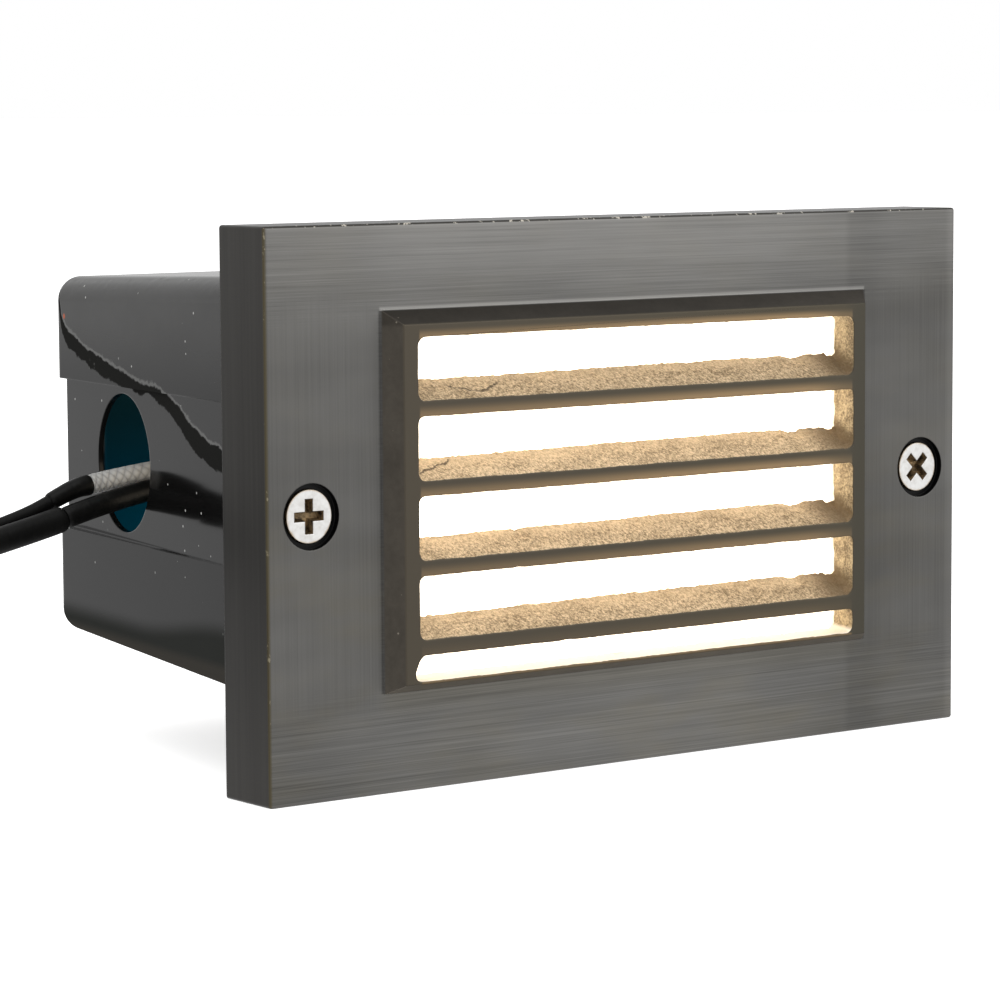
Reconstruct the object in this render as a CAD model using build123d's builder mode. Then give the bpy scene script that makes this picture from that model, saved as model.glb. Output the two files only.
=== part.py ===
"""Recessed louvred step light: faceplate casting, back box, lamp and its supply lead.

Millimetres, +Z up.  The front of the light faces -Y and the box runs back along +Y.
The origin is the middle of the faceplate on the wall plane, where its rim seats (y = 0).
"""

from build123d import *
from math import cos, pi, radians, sin, sqrt, tan
import os

# ---------------------------------------------------------------- driving sizes
# Faceplate casting
plate_width = 138.0
plate_height = 86.0
rim_depth = 12.0
rim_wall = 3.2
face_thickness = 3.5
plate_edge_radius = 0.5

# Raised frame round the louvres
frame_side_margin = 20.6
frame_top_margin = 12.9
frame_bottom_margin = 15.2
frame_raise = 3.0
frame_bevel = 2.2
frame_bottom_bevel = 1.5

# Louvre window and its fins
window_side_margin = 4.7
window_top_margin = 4.1
window_bottom_margin = 1.8
window_corner = 1.5
window_draft = 13.5
fin_count = 4
fin_first_gap = 9.7
fin_last_gap = 3.96
fin_front = 2.25
fin_depth = 5.7
fin_slope = 27.0
fin_end_radius = 1.2

# Cover screws: flat heads sunk a little below the face
screw_edge_distance = 7.8
screw_diameter = 3.9
screw_length = 18.0
screw_head_diameter = 8.0
screw_head_land = 0.5
screw_sink = 0.6
counterbore_diameter = 10.0
screw_cross_span = 5.3
screw_cross_width = 1.5
screw_cross_depth = 1.5
screw_hole_clearance = 0.08
screw_tip_room = 0.8
screw_seat_gap = 0.08
screw_tip_chamfer = 0.6
screw_head_angle = 90.0
screw_cross_taper = 12.0
screw_right_turn = 45.0

# Threaded inserts in the box
insert_diameter = 5.2
insert_length = 8.0
insert_running_gap = 0.05

# Lens and what holds it
lens_lap_side = 3.3
lens_lap_top = 3.25
lens_thickness = 2.8
lens_corner = 2.5
lens_seal_thickness = 0.8
lens_seal_width = 1.6
clip_length = 9.0
clip_width = 8.0
clip_thickness = 0.8
clip_height = 15.0
clip_post_diameter = 5.6
clip_post_gap = 0.4
clip_screw_diameter = 2.4
clip_screw_length = 5.0
clip_screw_head_diameter = 4.4
clip_screw_head_height = 1.5
clip_corner = 1.2
clip_hole_room = 0.4

# Gasket between the casting and the box flange
gasket_thickness = 4.0
gasket_side_width = 4.8
gasket_top_width = 7.8
gasket_tab_reach = 5.6
gasket_tab_height = 13.0
gasket_hole_clearance = 0.6

# Back box, tapered towards its closed end
flange_clearance = 0.5
flange_thickness = 2.5
flange_corner = 2.0
box_wall = 2.5
box_top_margin = 7.8
box_bottom_margin = 14.3
box_depth = 72.5
side_draft = 8.0
top_draft = 2.0
box_corner = 4.0
box_rear_radius = 2.4
screw_boss_height = 9.6
screw_boss_reach = 4.6
screw_boss_depth = 14.0
fixing_hole_diameter = 4.5
fixing_hole_spacing = 76.0
fixing_hole_z = 22.0

# Flat pads sunk into the box sides for the cable holes, deepest at the back and running out
# to nothing forwards; only the left one is drilled
pad_depth = 2.1
pad_height = 24.8
pad_run = 66.0
pad_wall = 1.7
pad_rib_margin = 1.5
pad_z = 3.6
cable_hole_diameter = 22.4
cable_hole_y = 47.8

# Bracket that carries the lamp socket
lamp_axis_z = 4.0
bracket_thickness = 1.0
bracket_width = 24.0
bracket_height = 20.0
bracket_front = 39.0
bracket_foot_width = 44.0
bracket_window = 9.0
bracket_bend = 2.0
bracket_post_diameter = 7.0
bracket_post_height = 3.0
bracket_post_spacing = 34.0
bracket_screw_diameter = 2.9
bracket_screw_length = 5.2
bracket_screw_head_diameter = 5.4
bracket_screw_head_height = 2.0

# Ceramic bi-pin socket
socket_width = 20.0
socket_height = 9.0
socket_depth = 10.0
socket_screw_spacing = 15.0
socket_screw_diameter = 2.0
socket_screw_length = 12.6
socket_screw_head_diameter = 3.8
socket_screw_head_height = 1.4
pin_spacing = 4.0
pin_diameter = 0.7
pin_length = 7.5
pin_running_gap = 0.07
contact_diameter = 2.2
contact_length = 2.6

# Bi-pin lamp
lamp_seat_gap = 0.3
lamp_base_diameter = 10.0
lamp_base_height = 4.0
lamp_board_diameter = 30.0
lamp_board_thickness = 1.6
led_ring_diameter = 18.0
led_count = 9
led_size = 3.0
led_height = 0.8
lamp_cover_height = 5.0
lamp_cover_wall = 1.0

# Leads, from the socket to the cable
sleeve_diameter = 3.3
shrink_a_diameter = 3.4
shrink_b_diameter = 3.5
lead_a_diameter = 2.3
lead_b_diameter = 4.2

# Supply cable, its coil and its stripped end
boot_diameter = 8.6
boot_length = 15.0
boot_back_diameter = 6.4
boot_tilt = 15.0
boot_front = (-90.0, 47.5, -8.4)
cable_diameter = 5.0
coil_turns_in = 2.25
coil_turns_out = 2.0
coil_outer_radius = 32.0
coil_turn_gap = 0.6
coil_centre = (-162.0, 16.0)
floor_z = -plate_height / 2
tie_width = 3.6
tie_thickness = 1.0
tie_clearance = 0.4
tie_lock_length = 6.0
tie_lock_width = 5.0
tie_lock_height = 3.6
core_diameter = 2.1
core_spacing = 2.3
core_length = 16.0
strand_diameter = 1.1
strand_length = 8.0

# How closely an edge is matched when it is picked out for a fillet
join_tolerance = 0.01

# ---------------------------------------------------------------- worked-out places
face_y = -rim_depth
raised_y = face_y - frame_raise
face_back_y = face_y + face_thickness
flange_front_y = face_back_y + gasket_thickness
flange_back_y = flange_front_y + flange_thickness
frame_width = plate_width - 2 * frame_side_margin
frame_top = plate_height / 2 - frame_top_margin
frame_bottom = frame_bottom_margin - plate_height / 2
window_width = frame_width - 2 * window_side_margin
window_top = frame_top - window_top_margin
window_bottom = frame_bottom + window_bottom_margin
window_height = window_top - window_bottom
fin_room = window_height - fin_first_gap - fin_front - fin_last_gap
fin_pitch = fin_room / (fin_count - 1)
box_top = plate_height / 2 - box_top_margin
box_bottom = box_bottom_margin - plate_height / 2
box_centre_z = (box_top + box_bottom) / 2
box_height = box_top - box_bottom
lens_width = window_width + 2 * lens_lap_side
lens_height = window_height + 2 * lens_lap_top
skirt_inner_width = plate_width - 2 * rim_wall
skirt_inner_height = plate_height - 2 * rim_wall
flange_width = skirt_inner_width - 2 * flange_clearance
flange_height = skirt_inner_height - 2 * flange_clearance
gasket_inner_width = flange_width - 2 * gasket_side_width
gasket_inner_height = flange_height - 2 * gasket_top_width
side_taper = tan(radians(side_draft))
top_taper = tan(radians(top_draft))
screw_x = plate_width / 2 - screw_edge_distance
screw_spacing = 2 * screw_x
screw_head_y = face_y + screw_sink
lens_front_y = face_back_y + lens_seal_thickness
lens_back_y = lens_front_y + lens_thickness
clip_x = lens_width / 2 + clip_post_gap + clip_post_diameter / 2
box_inside_y = box_depth - box_wall
post_top_y = box_inside_y - bracket_post_height
socket_front_y = bracket_front - socket_depth
lamp_base_back_y = socket_front_y - lamp_seat_gap
lamp_board_back_y = lamp_base_back_y - lamp_base_height
lamp_board_front_y = lamp_board_back_y - lamp_board_thickness


def upright(y):
    """A vertical plane at depth y: local x is +X, local y is +Z, and it faces the front."""
    return Plane.XZ.offset(-y)


def box_half_width(y):
    """Outer half width of the tapered box at depth y."""
    return flange_width / 2 - (y - flange_back_y) * side_taper


def box_half_height(y):
    """Outer half height of the tapered box at depth y."""
    return box_height / 2 - y * top_taper


def box_section(y, inset=0.0):
    """Width and height of the tapered box at depth y, drawn in by a wall."""
    return 2 * (box_half_width(y) - inset), 2 * (box_half_height(y) - inset)


def window_width_at(y):
    """Width of the louvre window at depth y; it widens towards the back."""
    return window_width + 2 * (y - raised_y) * tan(radians(window_draft))


# ---------------------------------------------------------------- faceplate casting
frame_height = frame_top - frame_bottom
frame_centre_z = (frame_top + frame_bottom) / 2
land_width = frame_width - 2 * frame_bevel
land_top = frame_top - frame_bevel
land_bottom = frame_bottom + frame_bottom_bevel
window_centre_z = (window_top + window_bottom) / 2
fin_rise = fin_depth * tan(radians(fin_slope))
fin_flare = fin_depth * tan(radians(window_draft))
post_height = lens_back_y - face_back_y
counterbore_depth = screw_sink + screw_head_land
counterbore_floor_y = face_y + counterbore_depth
screw_hole_radius = screw_diameter / 2 + screw_hole_clearance
clip_hole_depth = clip_screw_length - clip_thickness + clip_hole_room
overrun = 1.0

with BuildPart() as faceplate:
    with BuildSketch(upright(0)):
        Rectangle(plate_width, plate_height)
    extrude(amount=rim_depth)
    with BuildSketch(upright(0)):
        Rectangle(skirt_inner_width, skirt_inner_height)
    extrude(amount=-face_back_y, mode=Mode.SUBTRACT)
    front_edges = faceplate.faces().sort_by(Axis.Y)[0].outer_wire().edges()
    corner_edges = faceplate.edges().filter_by(Axis.Y).group_by(Axis.X)
    fillet(front_edges + corner_edges[0] + corner_edges[-1], radius=plate_edge_radius)
    # the raised frame, bevelled on all four sides
    with BuildSketch(upright(face_y)):
        with Locations((0, frame_centre_z)):
            Rectangle(frame_width, frame_height)
    with BuildSketch(upright(raised_y)):
        with Locations((0, (land_top + land_bottom) / 2)):
            Rectangle(land_width, land_top - land_bottom)
    loft(ruled=True)
    # the window, wider at the back, then the sloping fins across it
    for depth in (raised_y - overrun, face_back_y + overrun):
        with BuildSketch(upright(depth)):
            with Locations((0, window_centre_z)):
                RectangleRounded(window_width_at(depth), window_height, window_corner)
    loft(ruled=True, mode=Mode.SUBTRACT)
    for number in range(fin_count):
        fin_top = window_top - fin_first_gap - number * fin_pitch
        with BuildSketch(Plane.YZ):
            with BuildLine():
                Polyline(
                    (raised_y, fin_top),
                    (raised_y + fin_depth, fin_top + fin_rise),
                    (raised_y + fin_depth, fin_top + fin_rise - fin_front),
                    (raised_y, fin_top - fin_front),
                    close=True,
                )
            make_face()
        extrude(amount=window_width_at(face_back_y) / 2, both=True)
    # the fins blend into the window's side walls, above and below
    fin_end_x = (window_width + fin_flare) / 2
    fin_end_length = Vector(fin_depth, fin_rise, fin_flare).length
    fin_ends = faceplate.edges().filter_by(
        lambda edge: abs(abs(edge.center().X) - fin_end_x) < join_tolerance
        and abs(edge.length - fin_end_length) < join_tolerance
    )
    fillet(fin_ends, radius=fin_end_radius)
    # posts behind the face for the lens clips
    with BuildSketch(upright(lens_back_y)):
        with GridLocations(2 * clip_x, 2 * clip_height, 2, 2):
            Circle(clip_post_diameter / 2)
    extrude(amount=post_height)
    with BuildSketch(upright(lens_back_y)):
        with GridLocations(2 * clip_x, 2 * clip_height, 2, 2):
            Circle(clip_screw_diameter / 2)
    extrude(amount=clip_hole_depth, mode=Mode.SUBTRACT)
    # counterbored and countersunk screw holes
    with BuildSketch(upright(counterbore_floor_y)):
        with GridLocations(screw_spacing, 1, 2, 1):
            Circle(counterbore_diameter / 2)
    extrude(amount=counterbore_depth, mode=Mode.SUBTRACT)
    with Locations(upright(counterbore_floor_y)):
        with GridLocations(screw_spacing, 1, 2, 1):
            CounterSinkHole(
                radius=screw_hole_radius,
                counter_sink_radius=screw_head_diameter / 2 + screw_seat_gap,
                counter_sink_angle=screw_head_angle,
            )
faceplate.part.label = "faceplate"

# ---------------------------------------------------------------- lens and its clips
with BuildPart() as lens_seal:
    with BuildSketch(upright(lens_front_y)):
        RectangleRounded(lens_width, lens_height, lens_corner)
        Rectangle(
            lens_width - 2 * lens_seal_width,
            lens_height - 2 * lens_seal_width,
            mode=Mode.SUBTRACT,
        )
    extrude(amount=lens_seal_thickness)
lens_seal.part.label = "lens_seal"

with BuildPart() as lens:
    with BuildSketch(upright(lens_back_y)):
        RectangleRounded(lens_width, lens_height, lens_corner)
    extrude(amount=lens_thickness)
lens.part.label = "lens"

clip_outer_x = clip_x + clip_post_diameter / 2
clip_back_y = lens_back_y + clip_thickness

with BuildPart() as lens_clips:
    with BuildSketch(upright(clip_back_y)):
        for side in (-1, 1):
            with Locations((side * (clip_outer_x - clip_length / 2), 0)):
                with GridLocations(1, 2 * clip_height, 1, 2):
                    RectangleRounded(clip_length, clip_width, clip_corner)
        with GridLocations(2 * clip_x, 2 * clip_height, 2, 2):
            Circle(clip_screw_diameter / 2, mode=Mode.SUBTRACT)
    extrude(amount=clip_thickness)
lens_clips.part.label = "lens_clips"

with BuildPart() as lens_clip_screws:
    with BuildSketch(upright(clip_back_y)):
        with GridLocations(2 * clip_x, 2 * clip_height, 2, 2):
            Circle(clip_screw_diameter / 2)
    extrude(amount=clip_screw_length)
    with BuildSketch(upright(clip_back_y + clip_screw_head_height)):
        with GridLocations(2 * clip_x, 2 * clip_height, 2, 2):
            Circle(clip_screw_head_diameter / 2)
    extrude(amount=clip_screw_head_height)
    rims = lens_clip_screws.edges().filter_by(GeomType.CIRCLE).group_by(Axis.Y)[-1]
    fillet(rims, radius=clip_screw_head_height / 2)
lens_clip_screws.part.label = "lens_clip_screws"


# ---------------------------------------------------------------- cover screws
def cover_screw(x, turn):
    """A flat-headed cross-recess screw on the cover's centre line, its cross turned by degrees."""
    head_radius = screw_head_diameter / 2
    shank_radius = screw_diameter / 2
    cone_depth = (head_radius - shank_radius) / tan(radians(screw_head_angle / 2))
    shank_length = screw_length - screw_head_land - cone_depth
    with BuildPart() as screw:
        with BuildSketch(Plane.XY):
            with BuildLine():
                Polyline(
                    (0, 0),
                    (head_radius, 0),
                    (head_radius, screw_head_land),
                    (shank_radius, screw_head_land + cone_depth),
                    (shank_radius, screw_head_land + cone_depth + shank_length - screw_tip_chamfer),
                    (shank_radius - screw_tip_chamfer, screw_length),
                    (0, screw_length),
                    close=True,
                )
            make_face()
        revolve(axis=Axis.Y)
        # the cross recess, drawn in towards its bottom
        with BuildSketch(upright(0)):
            Rectangle(screw_cross_span, screw_cross_width)
            Rectangle(screw_cross_width, screw_cross_span)
        extrude(amount=-screw_cross_depth, taper=screw_cross_taper, mode=Mode.SUBTRACT)
    return screw.part.moved(Location((x, screw_head_y, 0), (0, turn, 0)))


cover_screw_left = cover_screw(-screw_x, 0)
cover_screw_left.label = "cover_screw_left"
cover_screw_right = cover_screw(screw_x, screw_right_turn)
cover_screw_right.label = "cover_screw_right"

# ---------------------------------------------------------------- cover gasket
gasket_hole_radius = screw_diameter / 2 + gasket_hole_clearance

with BuildPart() as faceplate_gasket:
    with BuildSketch(upright(flange_front_y)):
        RectangleRounded(flange_width, flange_height, flange_corner)
        Rectangle(gasket_inner_width, gasket_inner_height, mode=Mode.SUBTRACT)
        Rectangle(flange_width, gasket_tab_height)
        Rectangle(2 * (screw_x - gasket_tab_reach), gasket_tab_height, mode=Mode.SUBTRACT)
        with GridLocations(screw_spacing, 1, 2, 1):
            Circle(gasket_hole_radius, mode=Mode.SUBTRACT)
    extrude(amount=gasket_thickness)
faceplate_gasket.part.label = "faceplate_gasket"

# ---------------------------------------------------------------- back box
screw_tip_y = screw_head_y + screw_length
boss_back_y = flange_front_y + screw_boss_depth
boss_outer_x = box_half_width(boss_back_y) - box_wall / 4
boss_inner_x = screw_x - screw_boss_reach
pilot_depth = screw_tip_y + screw_tip_room - flange_front_y
bracket_pilot_depth = bracket_screw_length - bracket_thickness + screw_hole_clearance
pad_front = box_depth - pad_run
pad_front_x = box_half_width(pad_front)
pad_slope = (pad_front_x - box_half_width(box_depth) + pad_depth) / pad_run
pad_end_y = box_depth + overrun
pad_end_x = pad_front_x - pad_slope * (pad_run + overrun)
pad_rib_front = cable_hole_y + cable_hole_diameter / 2 + pad_rib_margin
pad_rib_length = (box_depth - pad_rib_front) / cos(radians(side_draft)) - box_wall / 2
pad_rib_thickness = pad_depth + pad_wall - box_wall


def side_plane(side, y, sink=0.0):
    """The box's drafted side at depth y: local x runs forward, local y is +Z, it faces out."""
    lean = radians(side_draft)
    outward = Vector(side * cos(lean), sin(lean), 0)
    corner = Vector(side * box_half_width(y), y, pad_z) - outward * sink
    return Plane(origin=corner, x_dir=(side * sin(lean), -cos(lean), 0), z_dir=outward)


with BuildPart() as back_box:
    with BuildSketch(upright(flange_back_y)):
        RectangleRounded(flange_width, flange_height, flange_corner)
    extrude(amount=flange_thickness)
    for depth in (flange_back_y, box_depth):
        with BuildSketch(upright(depth)):
            with Locations((0, box_centre_z)):
                RectangleRounded(*box_section(depth), box_corner)
    loft(ruled=True)
    fillet(back_box.faces().sort_by(Axis.Y)[-1].edges(), radius=box_rear_radius)
    for depth in (flange_front_y, box_inside_y):
        with BuildSketch(upright(depth)):
            with Locations((0, box_centre_z)):
                RectangleRounded(*box_section(depth, box_wall), box_corner - box_wall)
    loft(ruled=True, mode=Mode.SUBTRACT)
    # bosses for the cover screws, blended into the side walls
    with BuildSketch(upright(flange_front_y)):
        for side in (-1, 1):
            with Locations((side * (boss_inner_x + boss_outer_x) / 2, 0)):
                Rectangle(boss_outer_x - boss_inner_x, screw_boss_height)
    extrude(amount=-screw_boss_depth)
    with BuildSketch(upright(flange_front_y)):
        with GridLocations(screw_spacing, 1, 2, 1):
            Circle(insert_diameter / 2)
    extrude(amount=-insert_length, mode=Mode.SUBTRACT)
    with BuildSketch(upright(flange_front_y)):
        with GridLocations(screw_spacing, 1, 2, 1):
            Circle(screw_hole_radius)
    extrude(amount=-pilot_depth, mode=Mode.SUBTRACT)
    # the sides are thickened inside where the cable pads are sunk deepest from outside
    for side in (-1, 1):
        with BuildSketch(side_plane(side, pad_rib_front, box_wall)):
            with Locations((-pad_rib_length / 2, 0)):
                Rectangle(pad_rib_length, pad_height + 2 * pad_wall)
        extrude(amount=-pad_rib_thickness)
        with BuildSketch(Plane.XY.offset(pad_z - pad_height / 2)):
            with BuildLine():
                Polyline(
                    (side * pad_front_x, pad_front),
                    (side * pad_front_x, pad_end_y),
                    (side * pad_end_x, pad_end_y),
                    close=True,
                )
            make_face()
        extrude(amount=pad_height, mode=Mode.SUBTRACT)
    with BuildSketch(side_plane(-1, cable_hole_y)):
        Circle(cable_hole_diameter / 2)
    extrude(amount=-2 * box_wall, mode=Mode.SUBTRACT)
    # posts for the lamp bracket and holes for fixing the box
    with BuildSketch(upright(post_top_y)):
        with Locations((0, lamp_axis_z)):
            with GridLocations(bracket_post_spacing, 1, 2, 1):
                Circle(bracket_post_diameter / 2)
    extrude(amount=-bracket_post_height)
    with BuildSketch(upright(post_top_y)):
        with Locations((0, lamp_axis_z)):
            with GridLocations(bracket_post_spacing, 1, 2, 1):
                Circle(bracket_screw_diameter / 2)
    extrude(amount=-bracket_pilot_depth, mode=Mode.SUBTRACT)
    with BuildSketch(upright(box_depth)):
        with Locations((0, fixing_hole_z)):
            with GridLocations(fixing_hole_spacing, 1, 2, 1):
                Circle(fixing_hole_diameter / 2)
    extrude(amount=box_wall, mode=Mode.SUBTRACT)
back_box.part.label = "back_box"

with BuildPart() as screw_inserts:
    with BuildSketch(upright(flange_front_y)):
        with GridLocations(screw_spacing, 1, 2, 1):
            Circle(insert_diameter / 2)
            Circle(screw_diameter / 2 + insert_running_gap, mode=Mode.SUBTRACT)
    extrude(amount=-insert_length)
screw_inserts.part.label = "screw_inserts"

# ---------------------------------------------------------------- lamp bracket
bracket_top = lamp_axis_z + bracket_height / 2
bracket_reach = post_top_y - bracket_front
foot_front_y = post_top_y - bracket_thickness

with BuildPart() as lamp_bracket:
    with BuildSketch(Plane.YZ):
        with Locations((bracket_front + bracket_reach / 2, lamp_axis_z)):
            Rectangle(bracket_reach, bracket_height)
        with Locations((bracket_front + bracket_reach / 2, lamp_axis_z - bracket_thickness)):
            Rectangle(bracket_reach - 2 * bracket_thickness, bracket_height, mode=Mode.SUBTRACT)
    extrude(amount=bracket_width / 2, both=True)
    bends = lamp_bracket.edges().filter_by(Axis.X).group_by(Axis.Z)[-1]
    fillet(bends, radius=bracket_thickness * 0.9)
    with BuildSketch(upright(post_top_y)):
        with Locations((0, lamp_axis_z - bracket_bend)):
            Rectangle(bracket_foot_width, bracket_height - 2 * bracket_bend)
    extrude(amount=bracket_thickness)
    with BuildSketch(upright(post_top_y)):
        with Locations((0, lamp_axis_z)):
            with GridLocations(bracket_post_spacing, 1, 2, 1):
                Circle(bracket_screw_diameter / 2)
    extrude(amount=bracket_thickness, mode=Mode.SUBTRACT)
    with BuildSketch(upright(bracket_front)):
        with Locations((0, lamp_axis_z)):
            Circle(bracket_window / 2)
            with GridLocations(socket_screw_spacing, 1, 2, 1):
                Circle(socket_screw_diameter / 2)
    extrude(amount=-bracket_thickness, mode=Mode.SUBTRACT)
lamp_bracket.part.label = "lamp_bracket"


def pan_screws(face, shank_radius, length, head_radius, head_height, spacing):
    """Two pan-headed screws whose heads sit on an upright face; the shanks run to +Y."""
    with BuildPart() as screws:
        with BuildSketch(upright(face)):
            with Locations((0, lamp_axis_z)):
                with GridLocations(spacing, 1, 2, 1):
                    Circle(shank_radius)
        extrude(amount=-length)
        with BuildSketch(upright(face)):
            with Locations((0, lamp_axis_z)):
                with GridLocations(spacing, 1, 2, 1):
                    Circle(head_radius)
        extrude(amount=head_height)
        rims = screws.edges().filter_by(GeomType.CIRCLE).group_by(Axis.Y)[0]
        fillet(rims, radius=head_height / 2)
    return screws.part


bracket_screws = pan_screws(
    foot_front_y,
    bracket_screw_diameter / 2,
    bracket_screw_length,
    bracket_screw_head_diameter / 2,
    bracket_screw_head_height,
    bracket_post_spacing,
)
bracket_screws.label = "bracket_screws"

# ---------------------------------------------------------------- socket and lamp
with BuildPart() as lamp_socket:
    with BuildSketch(upright(bracket_front)):
        with Locations((0, lamp_axis_z)):
            SlotOverall(socket_width, socket_height)
            with GridLocations(socket_screw_spacing, 1, 2, 1):
                Circle(socket_screw_diameter / 2, mode=Mode.SUBTRACT)
            with GridLocations(pin_spacing, 1, 2, 1):
                Circle(pin_diameter / 2 + pin_running_gap, mode=Mode.SUBTRACT)
    extrude(amount=socket_depth)
    with BuildSketch(upright(bracket_front)):
        with Locations((0, lamp_axis_z)):
            with GridLocations(pin_spacing, 1, 2, 1):
                Circle(contact_diameter / 2)
    extrude(amount=contact_length, mode=Mode.SUBTRACT)
lamp_socket.part.label = "lamp_socket"

with BuildPart() as socket_contacts:
    with BuildSketch(upright(bracket_front)):
        with Locations((0, lamp_axis_z)):
            with GridLocations(pin_spacing, 1, 2, 1):
                Circle(contact_diameter / 2)
    extrude(amount=contact_length)
socket_contacts.part.label = "socket_contacts"

socket_screws = pan_screws(
    socket_front_y,
    socket_screw_diameter / 2,
    socket_screw_length,
    socket_screw_head_diameter / 2,
    socket_screw_head_height,
    socket_screw_spacing,
)
socket_screws.label = "socket_screws"

with BuildPart() as lamp_pins:
    with BuildSketch(upright(lamp_base_back_y)):
        with Locations((0, lamp_axis_z)):
            with GridLocations(pin_spacing, 1, 2, 1):
                Circle(pin_diameter / 2)
    extrude(amount=-pin_length)
lamp_pins.part.label = "lamp_pins"

with BuildPart() as lamp_base:
    with BuildSketch(upright(lamp_base_back_y)):
        with Locations((0, lamp_axis_z)):
            Circle(lamp_base_diameter / 2)
    extrude(amount=lamp_base_height)
lamp_base.part.label = "lamp_base"

with BuildPart() as lamp_board:
    with BuildSketch(upright(lamp_board_back_y)):
        with Locations((0, lamp_axis_z)):
            Circle(lamp_board_diameter / 2)
    extrude(amount=lamp_board_thickness)
lamp_board.part.label = "lamp_board"

with BuildPart() as lamp_leds:
    with BuildSketch(upright(lamp_board_front_y)):
        with Locations((0, lamp_axis_z)):
            with PolarLocations(led_ring_diameter / 2, led_count):
                Rectangle(led_size, led_size)
    extrude(amount=led_height)
lamp_leds.part.label = "lamp_leds"

with BuildPart() as lamp_cover:
    with BuildSketch(upright(lamp_board_front_y)):
        with Locations((0, lamp_axis_z)):
            Circle(lamp_board_diameter / 2)
    extrude(amount=lamp_cover_height)
    fillet(lamp_cover.faces().sort_by(Axis.Y)[0].edges(), radius=lamp_cover_height / 2)
    offset(amount=-lamp_cover_wall, openings=lamp_cover.faces().sort_by(Axis.Y)[-1])
lamp_cover.part.label = "lamp_cover"

# ---------------------------------------------------------------- leads and supply cable
contact_x = pin_spacing / 2
coil_pitch = cable_diameter + coil_turn_gap
coil_floor_z = floor_z + tie_thickness + tie_clearance + cable_diameter / 2
boot_axis = Vector(-cos(radians(boot_tilt)), 0, -sin(radians(boot_tilt)))
boot_up = Vector(-sin(radians(boot_tilt)), 0, cos(radians(boot_tilt)))


def boot_point(ahead, across, above):
    """A point set out from the middle of the boot's front face."""
    point = Vector(*boot_front) - boot_axis * ahead + Vector(0, across, 0) + boot_up * above
    return point.X, point.Y, point.Z


# Braided sleeves, from the socket out through the cable hole
sleeve_a_route = [
    (contact_x, bracket_front, lamp_axis_z),
    (contact_x, 49.5, lamp_axis_z),
    (-4.0, 57.5, 4.4),
    (-16.0, 59.0, 4.0),
    (-32.5, 54.8, 3.0),
    (-46.0, 50.2, 2.1),
    (-56.0, 48.8, 1.3),
    (-63.0, 49.0, 0.3),
]
sleeve_b_route = [
    (-contact_x, bracket_front, lamp_axis_z),
    (-contact_x, 47.8, lamp_axis_z),
    (-8.4, 54.0, 3.0),
    (-20.6, 53.4, 2.2),
    (-33.0, 48.8, 1.2),
    (-44.0, 46.3, 0.8),
    (-53.0, 46.0, -0.8),
]
# Shrink sleeves over the joints outside the box
shrink_a_route = [(-63.0, 49.0, 0.3), (-65.45, 49.07, -0.05), (-70.0, 49.2, -2.0)]
shrink_b_route = [(-53.0, 46.0, -0.8), (-61.1, 45.73, -2.24), (-69.4, 46.0, -4.4)]
# Leads from there to the boot
lead_a_route = [
    (-70.0, 49.2, -2.0),
    (-73.64, 49.304, -3.56),
    (-79.2, 49.5, -5.2),
    boot_point(5.5, 2.2, 0.3),
    boot_point(0, 2.2, 0.3),
]
lead_b_route = [
    (-69.4, 46.0, -4.4),
    (-73.4, 46.13, -5.44),
    (-80.9, 45.8, -7.05),
    boot_point(4.5, -1.6, -0.8),
    boot_point(0, -1.6, -0.8),
]
# Cable from the boot down to the floor, where its coil lies
cable_route = [
    boot_point(-boot_length, 0, 0),
    boot_point(-boot_length - 10.0, 0, 0),
    (-123.5, 48.0, -21.0),
    (-130.7, 48.8, -29.6),
    (-140.0, 48.9, -35.9),
    (-150.7, coil_centre[1] + coil_outer_radius, coil_floor_z),
    (coil_centre[0], coil_centre[1] + coil_outer_radius, coil_floor_z),
]


def cord(label, diameter, points):
    """A round cord along straight runs joined by the widest arcs that the runs allow."""
    runs = [Vector(*end) - Vector(*start) for start, end in zip(points, points[1:])]
    radii = []
    for run, following in zip(runs, runs[1:]):
        half_turn = radians(run.get_angle(following)) / 2
        radii.append(0.45 * min(run.length, following.length) / tan(half_turn))
    with BuildPart() as tube:
        with BuildLine() as path:
            FilletPolyline(*points, radius=radii)
        route = path.wires()[0]
        with BuildSketch(Plane(origin=route @ 0, z_dir=route % 0)):
            Circle(diameter / 2)
        sweep(path=route)
    length = route.length
    ratio = tube.part.volume / (pi * diameter**2 / 4 * length)
    print(label, "length", round(length, 1), "least radius", round(min(radii), 1))
    print(label, "volume over section times length", round(ratio, 4))
    tube.part.label = label
    return tube.part


socket_lead_a = cord("socket_lead_a", sleeve_diameter, sleeve_a_route)
socket_lead_b = cord("socket_lead_b", sleeve_diameter, sleeve_b_route)
shrink_a = cord("shrink_a", shrink_a_diameter, shrink_a_route)
shrink_b = cord("shrink_b", shrink_b_diameter, shrink_b_route)
lead_a = cord("lead_a", lead_a_diameter, lead_a_route)
lead_b = cord("lead_b", lead_b_diameter, lead_b_route)
cable = cord("cable", cable_diameter, cable_route)

with BuildPart() as cable_boot:
    with BuildSketch(Plane(origin=boot_point(0, 0, 0), z_dir=boot_axis)):
        Circle(boot_diameter / 2)
    with BuildSketch(Plane(origin=boot_point(-boot_length, 0, 0), z_dir=boot_axis)):
        Circle(boot_back_diameter / 2)
    loft()
cable_boot.part.label = "cable_boot"

# ---------------------------------------------------------------- wound coil
quarter = pi / 2
start_angle = quarter
turn_angle = start_angle + 2 * pi * coil_turns_in
end_angle = turn_angle + 2 * pi * coil_turns_out
inner_radius = coil_outer_radius - coil_pitch * coil_turns_in


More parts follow.
